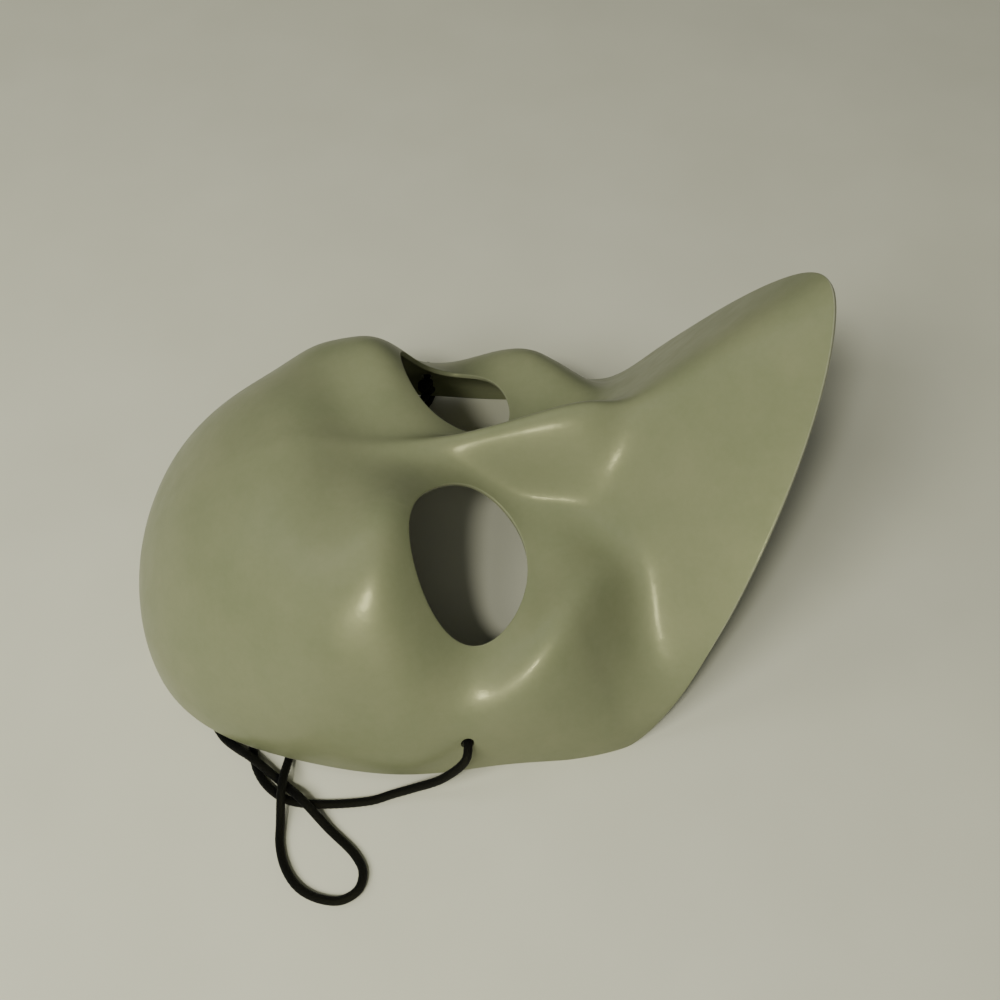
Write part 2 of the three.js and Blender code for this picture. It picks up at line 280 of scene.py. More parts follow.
# How finely the borders are sampled, and how their columns crowd where they bend and at the forehead's rim
RIM_SAMPLES = 6001
MIDDLE_SAMPLES = 12001
EYE_SAMPLES = 4001
BEND_CROWD = 5.0
BEND_MOST = 0.5
BEND_WINDOW = 41
FOREHEAD_CROWD = 2.4
FOREHEAD_REACH = 18.0

# How much of the pale cut plastic shows on the edge of the eyes, of the rim and of the rim along the prow; on
# the rim the pale tone is also a painted highlight of the rounded edge
EYE_CUT = 0.12
RIM_CUT_AND_HIGHLIGHT = 1.0
PROW_CUT_AND_HIGHLIGHT = 0.4


def spread(points, plan, count):
    """Plan points spread evenly along a curve in space, closer together where it bends."""
    step = np.linalg.norm(np.diff(points, axis=0), axis=1)
    tangent = unit(np.diff(points, axis=0))
    bend = np.zeros(len(step))
    bend[1:] = np.linalg.norm(np.diff(tangent, axis=0), axis=1) / np.maximum(step[1:], 1e-6)
    bend = np.convolve(np.minimum(bend, BEND_MOST), np.ones(BEND_WINDOW) / BEND_WINDOW, mode="same")
    length = np.concatenate([[0], np.cumsum(step * (1 + BEND_CROWD * bend))])
    want = np.linspace(0, length[-1], count + 1)
    return np.stack([np.interp(want, length, plan[:, k]) for k in range(2)], axis=-1)


def half_border():
    """Closed border of the half face with y above 0: rim from chin to forehead, then the centre line.

    With each border point comes how strongly the rows of its column crowd towards it.
    """
    phi = np.linspace(0, np.pi, RIM_SAMPLES)
    rim = skin(np.ones_like(phi), phi)
    rim_phi = spread(rim, np.stack([phi, phi], -1), RIM_COLUMNS)[:, 0]
    radius = outline(rim_phi)
    rim_plan = np.stack([radius * np.cos(rim_phi), radius * np.sin(rim_phi)], -1)
    rim_plan[[0, -1], 1] = 0.0
    t = np.linspace(-1, 1, MIDDLE_SAMPLES)
    forehead, chin = outline(np.pi), outline(0.0)
    x = np.where(t < 0, -forehead * (1 - (1 - np.abs(t)) ** FOREHEAD_CROWD), chin * np.abs(t))
    middle = skin(*polar(x, np.zeros_like(x)))
    middle_plan = spread(middle, np.stack([x, 0 * x], -1), MIDDLE_COLUMNS)
    border = np.concatenate([rim_plan[:-1], middle_plan[:-1]])
    deg = np.degrees(rim_phi[:-1])
    rim_crowd = mix(1 / WALL_RISE, 1.0, prow_share(deg))
    near_forehead = np.exp(-((middle_plan[:-1, 0] + forehead) / FOREHEAD_REACH) ** 2)
    middle_crowd = mix(1.0, 1 / WALL_RISE, near_forehead)
    return border, np.concatenate([rim_crowd, middle_crowd])


def eye_contour(direction, grow=0.0):
    """Point of the eye's edge, an ellipse turned a little, in each direction from its centre, in plan."""
    angle = np.linspace(-np.pi, np.pi, EYE_SAMPLES)
    local_y = (EYE["half_y"] + grow) * np.sin(angle)
    local_x = (EYE["half_x"] + grow) * np.cos(angle)
    cos, sin = math.cos(EYE["turn"]), math.sin(EYE["turn"])
    x = cos * local_x + sin * local_y
    y = -sin * local_x + cos * local_y
    heading = np.unwrap(np.arctan2(y, x))
    wanted = np.mod(direction - heading[0], 2 * np.pi) + heading[0]
    return np.stack([np.interp(wanted, heading, x), np.interp(wanted, heading, y)], -1)


def edge_rows(edge, normal, out):
    """Rounded cut edge: a quarter circle off the outer skin, then one on to the inner skin."""
    angles = np.radians(np.linspace(0, 90, EDGE_STEPS + 1))
    deep = edge - (WALL - EDGE_ROUND) * normal
    rows = [edge + EDGE_ROUND * (out * (math.sin(a) - 1) + normal * (math.cos(a) - 1)) for a in angles]
    rows += [deep + EDGE_ROUND * (out * (math.cos(a) - 1) - normal * math.sin(a)) for a in angles]
    return rows


def strip_quads(ids, closed):
    """Quads between neighbouring columns of a grid of point numbers, and from last to first if closed."""
    nxt = np.roll(ids, -1, 0) if closed else ids[1:]
    ids = ids if closed else ids[:-1]
    return np.stack([ids[:, :-1], ids[:, 1:], nxt[:, 1:], nxt[:, :-1]], -1).reshape(-1, 4)


def shell_surface():
    """Whole shell as points, quads and each point's share of pale tone: cut plastic, and along the rim also a
    painted highlight.

    On the half face a column of rows runs from the eye's edge straight in plan to each border point, and the
    skin gives every point its height. The inner skin is the outer one set back along its normal by the wall.
    Rounded strips join the two at the eye and at the rim, and the half is mirrored in the centre line.
    """
    border, crowd = half_border()
    columns = len(border)
    centre = np.array([EYE["x"], EYE["y"]])
    heading = np.arctan2(border[:, 1] - centre[1], border[:, 0] - centre[0])
    eye_edge = centre + eye_contour(heading)
    start = centre + eye_contour(heading, grow=EDGE_ROUND)
    t = np.linspace(0, 1, ROWS + 1)
    share = 1 - (1 - t[None, :]) ** crowd[:, None]
    plan = start[:, None, :] + share[..., None] * (border - start)[:, None, :]
    on_middle = np.zeros(columns, bool)
    on_middle[RIM_COLUMNS:] = True
    on_middle[0] = True
    on_rim = np.zeros(columns, bool)
    on_rim[: RIM_COLUMNS + 1] = True

    # Both skins, level with the centre line where they meet it
    x, y = plan[..., 0], plan[..., 1]
    ratio, phi = polar(x, y)
    ratio[on_rim, -1] = 1.0
    outer = skin(ratio, phi)
    normal = skin_normal(x, y)
    normal[on_middle, -1, 1] = 0.0
    outer[on_middle, -1, 1] = 0.0
    normal = unit(normal)
    inner = (outer - WALL * normal)[:, ::INNER_STEP]

    # Rounded strips at the eye and at the rim
    eye_points = skin(*polar(eye_edge[:, 0], eye_edge[:, 1]))
    eye_normal = skin_normal(eye_edge[:, 0], eye_edge[:, 1])
    around = np.roll(eye_points, -1, 0) - np.roll(eye_points, 1, 0)
    eye_out = unit(np.cross(around, eye_normal))
    eye_out *= np.sign(np.sum(eye_out * (eye_points - outer[:, INNER_STEP]), -1, keepdims=True))
    eye_rows = edge_rows(eye_points, eye_normal, eye_out)

    count = RIM_COLUMNS + 1
    rim_points, rim_normal = outer[:count, -1].copy(), normal[:count, -1]
    mirror = np.array((1, -1, 1))
    padded = np.concatenate([rim_points[1:2] * mirror, rim_points, rim_points[-2:-1] * mirror])
    rim_out = unit(np.cross(padded[2:] - padded[:-2], rim_normal))
    rim_out *= np.sign(np.sum(rim_out * (rim_points - outer[:count, -1 - INNER_STEP]), -1, keepdims=True))
    rim_rows = edge_rows(rim_points, rim_normal, rim_out)
    outer[:count, -1] = rim_rows[0]
    inner[:count, -1] = rim_rows[-1]
    inner[:, 0] = eye_rows[-1]

    # Number the points of the four grids
    grids = (outer, inner, np.stack(eye_rows[1:-1], 1), np.stack(rim_rows[1:-1], 1))
    blocks = [grid.reshape(-1, 3) for grid in grids]
    starts = np.cumsum([0] + [len(b) for b in blocks])
    half = np.concatenate(blocks)
    inner_rows = inner.shape[1]
    strip = len(eye_rows) - 2
    outer_id = np.arange(starts[0], starts[1]).reshape(columns, ROWS + 1)
    inner_id = np.arange(starts[1], starts[2]).reshape(columns, inner_rows)
    eye_id = np.arange(starts[2], starts[3]).reshape(columns, strip)
    rim_id = np.arange(starts[3], starts[4]).reshape(count, strip)
    eye_strip = np.concatenate([outer_id[:, :1], eye_id, inner_id[:, :1]], axis=1)
    rim_strip = np.concatenate([outer_id[:count, -1:], rim_id, inner_id[:count, -1:]], axis=1)
    faces = np.concatenate([
        strip_quads(outer_id, True),
        strip_quads(inner_id, True)[:, ::-1],
        strip_quads(eye_strip, True)[:, ::-1],
        strip_quads(rim_strip, False),
    ])
    cut = np.zeros(len(half))
    cut[eye_id.ravel()] = EYE_CUT
    along_prow = prow_share(np.degrees(np.arctan2(border[:, 1], border[:, 0])))
    along_prow = np.append(along_prow[:RIM_COLUMNS], 0.0)
    # Pale tone on the rim strip and the outer skin's last row: cut plastic, and a painted highlight of the
    # rounded rim edge
    cut[rim_id] = mix(RIM_CUT_AND_HIGHLIGHT, PROW_CUT_AND_HIGHLIGHT, along_prow)[:, None]
    cut[outer_id[:count, -1]] = 1 - along_prow

    # Mirror it, with the points on the centre line shared
    shared = np.concatenate([outer_id[on_middle, -1], inner_id[on_middle, -1], rim_id[[0, -1]].ravel()])
    mirror_id = np.arange(len(half)) + len(half)
    mirror_id[shared] = shared
    points = np.concatenate([half, half * mirror])
    faces = np.concatenate([faces, mirror_id[faces][:, ::-1]])
    used, faces = np.unique(faces, return_inverse=True)
    return points[used], faces.reshape(-1, 4), np.tile(cut, 2)[used]


def new_mesh(name, points, faces):
    """Mesh object at the origin from points in metres and quads given as rows of four."""
    mesh = bpy.data.meshes.new(name)
    mesh.vertices.add(len(points))
    mesh.vertices.foreach_set("co", np.asarray(points, dtype=np.float32).ravel())
    mesh.loops.add(faces.size)
    mesh.loops.foreach_set("vertex_index", faces.astype(np.int32).ravel())
    mesh.polygons.add(len(faces))
    mesh.polygons.foreach_set("loop_start", np.arange(0, faces.size, faces.shape[1], dtype=np.int32))
    mesh.update(calc_edges=True)
    mesh.validate()
    mesh.polygons.foreach_set("use_smooth", np.ones(len(mesh.polygons), bool))
    return put(name, mesh)


# Cord and its end knots, in millimetres, along the same route as the solids
CORD_DIAMETER = 3.0
CORD_REACH = dict(inward=1.5, outward=2.0)
HOLE_DIAMETER = 4.4
HOLE_NEAR = dict(deg=-90.25, ratio=0.974)
HOLE_FAR = dict(deg=93.8, ratio=0.978)
KNOT = dict(radius=3.9, squash=0.85, gap=0.35, tail=9.0)

ROUTE = (
    (-1.4, -85.8, 18.4), (-9.5, -88.3, 10.8), (-19.3, -88.4, 5.2), (-25.9, -88.9, 3.1),
    (-34.5, -90.2, 1.8), (-58.5, -88.3, 1.6), (-66.8, -83.0, 1.6), (-71.7, -74.8, 1.6),
    (-73.4, -60.0, 1.6), (-74.3, -41.2, 1.6), (-80.9, -37.4, 1.6), (-87.5, -41.2, 1.6),
    (-88.6, -51.5, 1.6), (-83.4, -62.6, 1.6), (-77.5, -68.6, 3.0), (-73.3, -72.4, 5.1),
    (-61.9, -82.4, 2.8), (-56.2, -88.6, 5.2), (-47.8, -98.0, 1.9), (-38.9, -108.0, 1.6),
    (-36.6, -113.6, 1.6), (-38.2, -119.0, 1.6), (-43.5, -121.9, 1.6), (-50.5, -120.8, 1.6),
    (-57.0, -116.8, 1.6), (-61.2, -110.4, 1.6), (-63.2, -102.6, 1.6), (-63.1, -95.4, 2.4),
    (-62.2, -83.8, 6.4), (-60.2, -71.0, 2.1), (-58.6, -62.0, 1.6), (-33.5, 32.0, 1.6),
    (-24.5, 52.0, 1.6), (-5.4, 81.0, 1.6), (-4.2, 83.6, 1.8), (-3.4, 85.8, 2.8), (-3.0, 87.4, 4.9),
    (-3.0, 88.1, 7.7), (-4.7, 87.8, 15.3), (-5.2, 85.1, 18.2),
)

# Points between two of the route's, and the cord's slant down through the holes
ROUTE_STEPS = 40
HOLE_SLANT = 0.2

# Braid: yarns round the cord, a crossing's length, its relief, the mesh, and the shape of crowns and caps
BRAID_YARNS = 8
BRAID_PITCH = 1.9
BRAID_RELIEF = 0.14
BRAID_SIDES = 48
BRAID_STEP = 0.38
CROWN_ARCH = 1.9
CROWN_POWER = 0.7
CAP_REACH = 0.3
CAP_LEAST = 0.0025

# Turns of the knots, drawn a little tighter than the cord, and how the cord comes in and the tail leaves
TREFOIL = dict(points=34, spread=0.80, height=1.25, open_start=0.45, open_end=0.3)
KNOT_THICKNESS = 0.93
KNOT_LEAN = np.array((-0.53, -0.42, -0.74))
KNOT_JOIN = dict(overlap=0.3, inward=0.28, ahead=2.2, below=0.5, along_tail=0.55)


def hole_axis(hole):
    """Middle of a cord hole on the outer skin, and its way out."""
    phi = math.radians(hole["deg"])
    centre = skin(hole["ratio"], phi)
    return centre, skin_normal(np.array(centre[0]), np.array(centre[1]))


def smooth_path(points, step):
    """Evenly spaced points on the centripetal Catmull-Rom curve through the given ones."""
    first, last = 2 * points[0] - points[1], 2 * points[-1] - points[-2]
    p = np.concatenate([[first], points, [last]])
    knot = np.sqrt(np.linalg.norm(np.diff(p, axis=0), axis=1))[:, None]
    slope = np.diff(p, axis=0) / knot
    tangent = slope[:-1] - (p[2:] - p[:-2]) / (knot[:-1] + knot[1:]) + slope[1:]
    a, b = p[1:-2, None], p[2:-1, None]
    ta, tb = (tangent[:-1] * knot[1:-1])[:, None], (tangent[1:] * knot[1:-1])[:, None]
    t = np.linspace(0, 1, ROUTE_STEPS, endpoint=False)[None, :, None]
    curve = a + ta * t + (3 * (b - a) - 2 * ta - tb) * t**2 + (2 * (a - b) + ta + tb) * t**3
    curve = np.concatenate([curve.reshape(-1, 3), points[-1:]])
    return even(curve, step)


def even(curve, step):
    """The same curve with evenly spaced points about one step apart."""
    length = np.concatenate([[0], np.cumsum(np.linalg.norm(np.diff(curve, axis=0), axis=1))])
    want = np.linspace(0, length[-1], max(4, round(length[-1] / step)) + 1)
    return np.stack([np.interp(want, length, curve[:, k]) for k in range(3)], -1)


def cord_path():
    """Straight through both holes, leaning down a little in them, and never below the ground."""
    ends = []
    for hole in (HOLE_NEAR, HOLE_FAR):
        centre, out = hole_axis(hole)
        middle = centre - out * WALL / 2
        lean = unit(out + (0, 0, -HOLE_SLANT))
        ends.append([middle - CORD_REACH["inward"] * lean, middle + CORD_REACH["outward"] * lean])
    curve = smooth_path(np.array(ends[0] + list(ROUTE) + ends[1][::-1]), BRAID_STEP)
    curve[:, 2] = np.maximum(curve[:, 2], CORD_DIAMETER / 2)
    return curve


def braided_tube(path, diameter):
    """Round braid along a path: points, quads, the triangles that close its ends, and the corners' UV.

    Yarns run both ways round: a = n * turn + s / pitch and b = n * turn - s / pitch number them, and the
    parity of floor(a) + floor(b) says which one lies on top. At the crown of the upper yarn the tube has its
    full radius, and towards the yarn's edges it sinks by the relief. Both ends run out in a rounded cap.
    """
    path = even(path, BRAID_STEP)
    tangent = unit(np.gradient(path, axis=0))
    sides = [unit(np.cross(tangent[0], (0, 0, 1.0)))]
    for way in tangent[1:]:
        sides.append(unit(sides[-1] - way * np.dot(sides[-1], way)))
    side = np.array(sides)
    upper = np.cross(tangent, side)
    rings = len(path)
    s = np.arange(rings)[:, None] * BRAID_STEP
    turn = np.arange(BRAID_SIDES)[None, :] / BRAID_SIDES
    a, b = BRAID_YARNS * turn + s / BRAID_PITCH, BRAID_YARNS * turn - s / BRAID_PITCH
    on_top = np.mod(np.floor(a) + np.floor(b), 2) < 0.5
    across, along = np.where(on_top, a, b) % 1 - 0.5, np.where(on_top, b, a) % 1 - 0.5
    crown = np.sqrt(np.clip(1 - (CROWN_ARCH * across) ** 2, 0, 1)) * np.cos(np.pi * along) ** CROWN_POWER
    end = np.minimum(np.arange(rings), np.arange(rings)[::-1])[:, None] * BRAID_STEP
    end = np.minimum(end / (CAP_REACH * diameter), 1)
    cap = np.sqrt(np.clip(1 - (1 - end) ** 2, CAP_LEAST, 1))
    radius = (diameter / 2 - BRAID_RELIEF * (1 - crown)) * cap
    angle = 2 * np.pi * turn
    ring = side[:, None] * np.cos(angle)[..., None] + upper[:, None] * np.sin(angle)[..., None]
    points = (path[:, None] + ring * radius[..., None]).reshape(-1, 3)
    points = np.concatenate([points, path[:1], path[-1:]])
    i = np.arange((rings - 1) * BRAID_SIDES)
    ahead = i + 1 - BRAID_SIDES * ((i + 1) % BRAID_SIDES == 0)
    quads = np.stack([i, ahead, ahead + BRAID_SIDES, i + BRAID_SIDES], -1)
    lap = np.arange(BRAID_SIDES)
    after, last, top = (lap + 1) % BRAID_SIDES, (rings - 1) * BRAID_SIDES, rings * BRAID_SIDES
    first_cap = np.stack([after, lap, 0 * lap + top], -1)
    last_cap = np.stack([last + lap, last + after, 0 * lap + top + 1], -1)
    turns = np.stack([i % BRAID_SIDES, i % BRAID_SIDES + 1] * 2, -1)[:, [0, 1, 3, 2]] / BRAID_SIDES
    runs = (i // BRAID_SIDES)[:, None] + np.array([0, 0, 1, 1])[None]
    uv = np.stack([turns * BRAID_YARNS, runs * BRAID_STEP / BRAID_PITCH], -1).reshape(-1, 2)
    cap_corners = 2 * 3 * BRAID_SIDES
    uv = np.concatenate([uv, np.full((cap_corners, 2), 0.5)])
    return points, quads, np.concatenate([first_cap, last_cap]), uv


def new_tube(name, path, diameter):
    """Mesh object of a braided tube, with the yarn numbers in its UV layer."""
    points, quads, caps, uv = braided_tube(path, diameter)
    mesh = bpy.data.meshes.new(name)
    mesh.from_pydata((points * MM).tolist(), [], quads.tolist() + caps.tolist())
    layer = mesh.uv_layers.new(name="yarns")
    layer.data.foreach_set("uv", uv.astype(np.float32).ravel())
    mesh.polygons.foreach_set("use_smooth", np.ones(len(mesh.polygons), bool))
    return put(name, mesh)


def knot_path(hole, cord_end):
    """Overhand knot: a tight trefoil (sin t + 2 sin 2t, cos t - 2 cos 2t, -sin 3t), opened at one lobe.

    It starts at the cord's end in the wall, and its tail leaves past the opened lobe.
    """
    centre, out = hole_axis(hole)
    middle = centre - out * (WALL + 3 * KNOT["gap"] + KNOT["radius"] * KNOT["squash"])
    lean = unit(KNOT_LEAN * (1, np.sign(hole["deg"]), 1))
    ahead = unit(lean - out * np.dot(lean, out))
    axes = np.stack([ahead, np.cross(out, ahead), out])
    t = np.linspace(-np.pi + TREFOIL["open_start"], np.pi - TREFOIL["open_end"], TREFOIL["points"])
    along = TREFOIL["spread"] * (np.sin(t) + 2 * np.sin(2 * t))
    across = TREFOIL["spread"] * (np.cos(t) - 2 * np.cos(2 * t))
    lump = np.stack([along, across, -TREFOIL["height"] * np.sin(3 * t)], -1) @ axes + middle
    start = cord_end + out * KNOT_JOIN["overlap"]
    inner = cord_end - (cord_end - middle) * KNOT_JOIN["inward"]
    leave = lump[-1] + ahead * KNOT_JOIN["ahead"] - out * KNOT_JOIN["below"]
    tail = middle + lean * KNOT["tail"]
    bend = mix(leave, tail, KNOT_JOIN["along_tail"])
    return smooth_path(np.concatenate([[start, inner], lump, [leave, bend, tail]]), BRAID_STEP)


# Colours of the plastic, the elastic and the board, and the sizes of their patterns in millimetres
SAGE_DEEP = "6f7452"
SAGE_PALE = "777a58"
SAGE_DUST = "8c8e70"
SAGE_CUT_AND_HIGHLIGHT = "b3b39a"
ELASTIC_BLACK_AND_GROOVE_SHADE = "030303"
ELASTIC_DUSTY = "0f0f10"
BOARD_DEEP = "cdccb0"
BOARD_PALE = "d2d1b5"

CLOUD_SIZE = 22
SATIN_SIZE = 9
PEEL_SIZE = 3.4
PEEL_DEPTH = 0.05
SPECK_SIZE = 2.2
GRAIN_SIZE = 0.45
GRAIN_DEPTH = 0.012
FILAMENTS = 5
FILAMENT_DEPTH = 0.06
FUZZ_SIZE = 0.5
FUZZ_DEPTH = 0.05
BOARD_CLOUD_SIZE = 60
TOOTH_SIZE = 0.9
TOOTH_DEPTH = 0.03


def colour(hexa):
    """Linear colour from an sRGB hex code."""
    channels = [int(hexa[k : k + 2], 16) / 255 for k in (0, 2, 4)]
    return (*[c / 12.92 if c <= 0.04045 else ((c + 0.055) / 1.055) ** 2.4 for c in channels], 1.0)


def per_mm(size):
    """Scale of a pattern on coordinates in metres whose blobs are about the given size in millimetres."""
    return 1 / (size * MM)


def add(tree, kind, inputs=None, **settings):
    """Add a node with its settings; an input takes a constant, a socket, or a node for its first output."""
    node = tree.nodes.new("ShaderNode" + kind)
    for key, value in settings.items():
        setattr(node, key, value)
    for key, value in (inputs or {}).items():
        if isinstance(value, bpy.types.Node):
            value = value.outputs[0]
        if isinstance(value, bpy.types.NodeSocket):
            tree.links.new(value, node.inputs[key])
        else:
            node.inputs[key].default_value = value
    return node


def new_material(name):
    """Material with an empty node tree."""
    material = bpy.data.materials.new(name)
    material.use_nodes = True
    material.node_tree.nodes.clear()
    return material, material.node_tree


def sage_plastic():
    """Moulded sage plastic.

    The look comes from faint cloudy mortling, an orange-peel skin under a soft satin gloss, a fine grain
    that breaks the highlights, and the paler, duller plastic where the edges were cut; along the rim that
    pale tone is also a painted highlight of the rounded edge.
    """
    material, tree = new_material("moulded_sage_plastic")
    place = add(tree, "TexCoord").outputs["Object"]
    edge = add(tree, "Attribute", attribute_name="cut_edge_and_rim_highlight").outputs["Fac"]

    # Cloudy mottling with a few dusty specks, and the paler cut edges, which along the rim are also a painted
    # highlight
    cloud_inputs = {"Vector": place, "Scale": per_mm(CLOUD_SIZE), "Detail": 4, "Roughness": 0.6}
    cloud = add(tree, "TexNoise", cloud_inputs)
    cloudy = add(tree, "MapRange", {"Value": cloud, "From Min": 0.3, "From Max": 0.7})
    tone = add(tree, "Mix", {0: cloudy, 6: colour(SAGE_DEEP), 7: colour(SAGE_PALE)}, data_type="RGBA")
    speck_inputs = {"Vector": place, "Scale": per_mm(SPECK_SIZE), "Detail": 4, "Roughness": 0.65}
    speck = add(tree, "TexNoise", speck_inputs)
    dusty = add(tree, "MapRange", {"Value": speck, "From Min": 0.35, "From Max": 0.75, "To Max": 0.10})
    tone = add(tree, "Mix", {0: dusty, 6: tone.outputs[2], 7: colour(SAGE_DUST)}, data_type="RGBA")
    # Patchy pale tone on the edges: cut plastic, and on the rim a painted highlight as well
    edge_patchiness = add(tree, "MapRange", {"Value": speck, "From Min": 0.3, "From Max": 0.7, "To Min": 0.55})
    pale_edge_and_highlight = add(tree, "Math", {0: edge, 1: edge_patchiness}, operation="MULTIPLY")
    tone = add(tree, "Mix", {0: pale_edge_and_highlight, 6: tone.outputs[2], 7: colour(SAGE_CUT_AND_HIGHLIGHT)}, data_type="RGBA")

    # Satin gloss, a little uneven, and dull on the cut edges
    satin = add(tree, "TexNoise", {"Vector": place, "Scale": per_mm(SATIN_SIZE), "Detail": 3})
    sheen_inputs = {"Value": satin, "From Min": 0.3, "From Max": 0.7, "To Min": 0.38, "To Max": 0.46}
    sheen = add(tree, "MapRange", sheen_inputs)
    dull = add(tree, "Math", {0: edge, 1: 0.2}, operation="MULTIPLY")
    rough = add(tree, "Math", {0: sheen, 1: dull}, operation="ADD")

    # Orange peel with the fine grain on it
    peel = add(tree, "TexNoise", {"Vector": place, "Scale": per_mm(PEEL_SIZE), "Detail": 1.5})
    grain = add(tree, "TexNoise", {"Vector": place, "Scale": per_mm(GRAIN_SIZE)})
    relief = add(tree, "Bump", {"Height": peel, "Distance": PEEL_DEPTH * MM})
    relief = add(tree, "Bump", {"Height": grain, "Distance": GRAIN_DEPTH * MM, "Normal": relief})
    surface = add(tree, "BsdfPrincipled", {
        "Base Color": tone.outputs[2], "Roughness": rough, "Normal": relief, "IOR": 1.40,
        "Coat Weight": 0.15, "Coat Roughness": 0.165, "Coat Normal": relief,
    })
    add(tree, "OutputMaterial", {"Surface": surface})
    return material


def black_elastic():
    """Black braided round elastic.

    The look comes from the yarns' own filaments, which run along whichever yarn lies on top, grooves between
    the yarns darkened with painted shade, slightly dusty crowns and a faint sheen of loose fibres. The yarns
    and filaments are drawn coarser than real ones, so that they show.
    """
    material, tree = new_material("black_braided_elastic")
    coordinates = add(tree, "TexCoord")
    place = coordinates.outputs["Object"]

    # The two families of yarns, numbered as in the tube's relief, and which of them lies on top
    split = add(tree, "SeparateXYZ", {0: coordinates.outputs["UV"]})
    a = add(tree, "Math", {0: split.outputs[0], 1: split.outputs[1]}, operation="ADD")
    b = add(tree, "Math", {0: split.outputs[0], 1: split.outputs[1]}, operation="SUBTRACT")
    whole_a = add(tree, "Math", {0: a}, operation="FLOOR")
    whole_b = add(tree, "Math", {0: b}, operation="FLOOR")
    both = add(tree, "Math", {0: whole_a, 1: whole_b}, operation="ADD")
    parity = add(tree, "Math", {0: both, 1: 2.0}, operation="FLOORED_MODULO")
    on_top = add(tree, "Math", {0: parity, 1: 0.5}, operation="LESS_THAN")
    upper = add(tree, "Mix", {0: on_top, 2: b, 3: a})

    # Filaments along the upper yarn, its dusty crown with painted shade towards the grooves, and the fuzz
    strands = add(tree, "Math", {0: upper, 1: FILAMENTS}, operation="MULTIPLY")
    filament = add(tree, "Math", {0: strands, 1: 0.5}, operation="PINGPONG")
    across = add(tree, "Math", {0: upper, 1: 0.5}, operation="PINGPONG")
    fuzz_inputs = {"Vector": place, "Scale": per_mm(FUZZ_SIZE), "Detail": 4, "Roughness": 0.7}
    fuzz = add(tree, "TexNoise", fuzz_inputs)
    crown = add(tree, "MapRange", {"Value": across, "From Min": 0.1, "From Max": 0.5, "To Max": 0.75})
    patchy = add(tree, "MapRange", {"Value": fuzz, "From Min": 0.35, "From Max": 0.7, "To Min": 0.3})
    dusty = add(tree, "Math", {0: crown, 1: patchy}, operation="MULTIPLY")
    # Paler, dusty crowns on the yarns, and painted shade in the grooves between them
    tone = add(tree, "Mix", {0: dusty, 6: colour(ELASTIC_BLACK_AND_GROOVE_SHADE), 7: colour(ELASTIC_DUSTY)}, data_type="RGBA")
    relief = add(tree, "Bump", {"Height": filament, "Distance": FILAMENT_DEPTH * MM})
    relief = add(tree, "Bump", {"Height": fuzz, "Distance": FUZZ_DEPTH * MM, "Normal": relief})
    surface = add(tree, "BsdfPrincipled", {
        "Base Color": tone.outputs[2], "Roughness": 0.66, "Normal": relief, "IOR": 1.3,
        "Sheen Weight": 0.015, "Sheen Roughness": 0.5,
    })
    add(tree, "OutputMaterial", {"Surface": surface})
    return material


def pale_board():
    """Pale board under the mask: a plain matt sheet with a very faint cloudiness and fine tooth."""
    material, tree = new_material("pale_matt_board")
    place = add(tree, "TexCoord").outputs["Object"]
    cloud = add(tree, "TexNoise", {"Vector": place, "Scale": per_mm(BOARD_CLOUD_SIZE), "Detail": 3})
    cloudy = add(tree, "MapRange", {"Value": cloud, "From Min": 0.3, "From Max": 0.7})
    tone = add(tree, "Mix", {0: cloudy, 6: colour(BOARD_DEEP), 7: colour(BOARD_PALE)}, data_type="RGBA")
    tooth = add(tree, "TexNoise", {"Vector": place, "Scale": per_mm(TOOTH_SIZE), "Detail": 3})
    relief = add(tree, "Bump", {"Height": tooth, "Distance": TOOTH_DEPTH * MM})
    surface = add(tree, "BsdfPrincipled", {"Base Color": tone.outputs[2], "Roughness": 0.6, "Normal": relief})
    add(tree, "OutputMaterial", {"Surface": surface})
    return material


# How the cord holes are cut, and from which angle an edge of the shell is sharp
DRILL_SIDES = 40
DRILL_REACH = 6
SHARP_DEG = 50


def drill(shell, hole):
    """Cut a round cord hole through the wall, with its walls marked as cut edges."""
    centre, out = hole_axis(hole)
    angle = np.arange(DRILL_SIDES) * 2 * np.pi / DRILL_SIDES
    side = unit(np.cross(out, (0, 0, 1.0)))
    upper = np.cross(out, side)
    ring = (np.cos(angle)[:, None] * side + np.sin(angle)[:, None] * upper) * HOLE_DIAMETER / 2
    points = np.concatenate([centre + ring - DRILL_REACH * out, centre + ring + DRILL_REACH * out])
    lap = np.arange(DRILL_SIDES)
    after, top = (lap + 1) % DRILL_SIDES, lap + DRILL_SIDES
    walls = np.stack([lap, after, after + DRILL_SIDES, top], -1)
    mesh = bpy.data.meshes.new("bit")
    mesh.from_pydata((points * MM).tolist(), [], walls.tolist() + [lap[::-1].tolist(), top.tolist()])
    mark = mesh.attributes.new("cut_edge_and_rim_highlight", "FLOAT", "POINT")
    mark.data.foreach_set("value", np.ones(len(points), np.float32))
    bit = put("bit", mesh)
    cut = shell.modifiers.new("cord_hole", "BOOLEAN")
    cut.operation = "DIFFERENCE"
    cut.object = bit
    cut.solver = "EXACT"
    bpy.context.view_layer.update()
    done = bpy.data.meshes.new_from_object(shell.evaluated_get(bpy.context.evaluated_depsgraph_get()))
    shell.modifiers.clear()
    shell.data = done
    bpy.data.objects.remove(bit)


def make_mask():
    """Moulded shell with its two cord holes."""
    points, faces, cut = shell_surface()
    shell = new_mesh("moulded_shell", points * MM, faces)
    # Share of pale tone at each point: cut plastic, and along the rim a painted highlight too
    attribute = shell.data.attributes.new("cut_edge_and_rim_highlight", "FLOAT", "POINT")
    attribute.data.foreach_set("value", cut.astype(np.float32))
    for hole in (HOLE_NEAR, HOLE_FAR):
        drill(shell, hole)
    shell.data.set_sharp_from_angle(angle=math.radians(SHARP_DEG))
    shell.data.materials.clear()
    shell.data.materials.append(sage_plastic())
    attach(shell, "root")
    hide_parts("mask_shell")


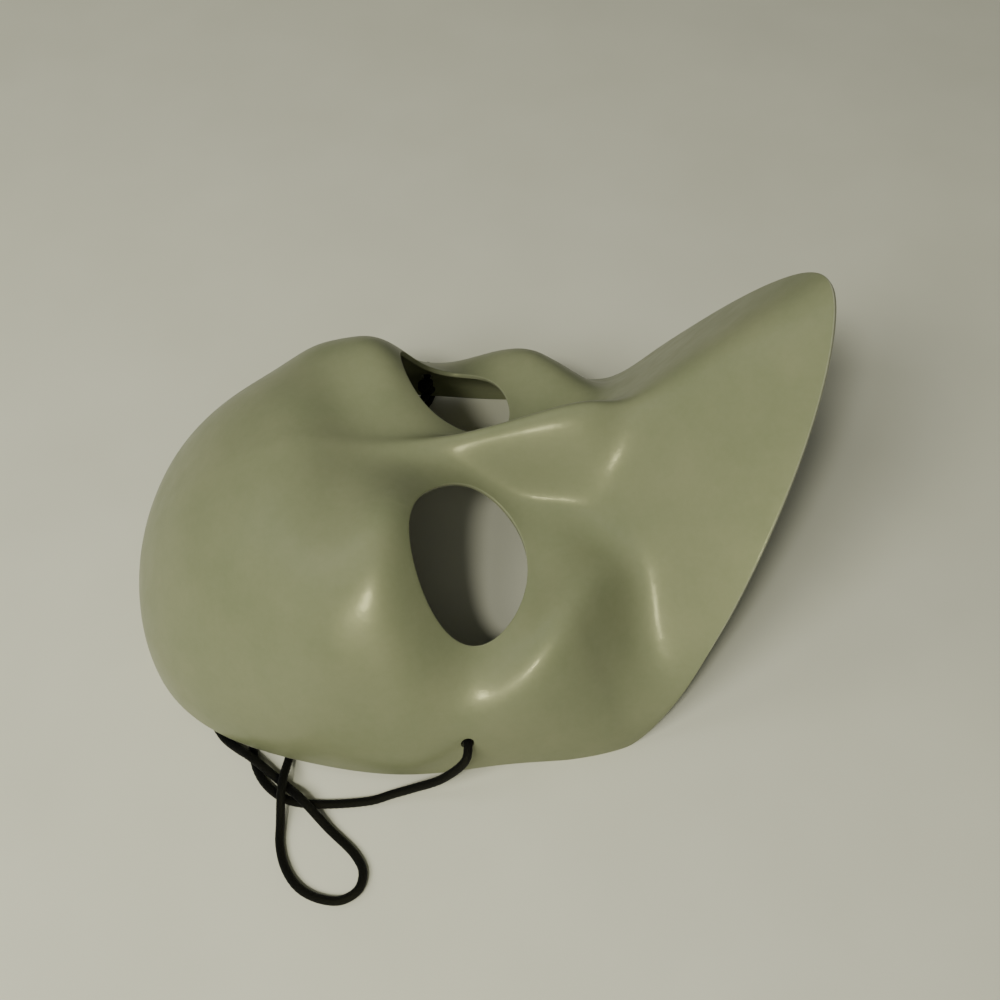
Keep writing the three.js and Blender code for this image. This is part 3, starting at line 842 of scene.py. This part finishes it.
def make_cord():
    """Elastic cord and the knots in its two ends."""
    elastic = black_elastic()
    path = cord_path()
    cord = new_tube("braided_cord", path, CORD_DIAMETER)
    knots = []
    for name, hole, end in (("knot_near", HOLE_NEAR, path[0]), ("knot_far", HOLE_FAR, path[-1])):
        knot = new_tube("tied_" + name, knot_path(hole, end), KNOT_THICKNESS * CORD_DIAMETER)
        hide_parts(name)
        knots.append(knot)
    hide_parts("elastic_cord")
    for piece in (cord, *knots):
        piece.data.materials.append(elastic)
        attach(piece, "root")


# Board and light, in metres and watts
FLOOR_HALF = 4
SKY_TINT = (0.92, 0.95, 1.0, 1)
SKY_STRENGTH = 0.122


def make_floor():
    """Board that the mask lies on."""
    corners = [(x * FLOOR_HALF, y * FLOOR_HALF, 0) for x, y in ((-1, -1), (1, -1), (1, 1), (-1, 1))]
    mesh = bpy.data.meshes.new("floor")
    mesh.from_pydata(corners, [], [(0, 1, 2, 3)])
    mesh.materials.append(pale_board())
    put("floor", mesh)


def lamp(name, place, aim, size, power, tint=(1, 1, 1), diffuse=True, glossy=True):
    """Round soft light aimed at a point; either of its two effects may be left out."""
    data = bpy.data.lights.new(name, "AREA")
    data.energy = power
    data.shape = "DISK"
    data.size = size
    data.color = tint
    light = put(name, data)
    light.location = place
    light.rotation_euler = (Vector(aim) - Vector(place)).to_track_quat("-Z", "Y").to_euler()
    light.visible_diffuse = diffuse
    light.visible_glossy = glossy


def make_light():
    """Pale sky, four soft lamps without glints, and one small lamp near the mask that gives only glints."""
    world = bpy.data.worlds.new("studio")
    bpy.context.scene.world = world
    world.use_nodes = True
    sky = world.node_tree.nodes["Background"]
    sky.inputs["Color"].default_value = SKY_TINT
    sky.inputs["Strength"].default_value = SKY_STRENGTH
    lamp("key", (-0.26, -0.60, 0.93), (0, 0, 0), 0.12, 5.45, glossy=False)
    lamp("wide", (-0.6, -0.6, 0.9), (0, 0, 0), 0.5, 9.4, glossy=False)
    lamp("side", (-0.9, 0.0, 0.8), (0, 0, 0), 0.5, 2.7, glossy=False)
    lamp("front", (0.0, -0.8, 0.9), (0, 0, 0), 0.5, 0.8, glossy=False)
    lamp("glint", (-0.022, -0.198, 0.110), (0, 0, 0.05), 0.025, 0.2, tint=(1, 0.98, 0.45), diffuse=False)


make_camera()
make_cord()
make_mask()
make_floor()
make_light()
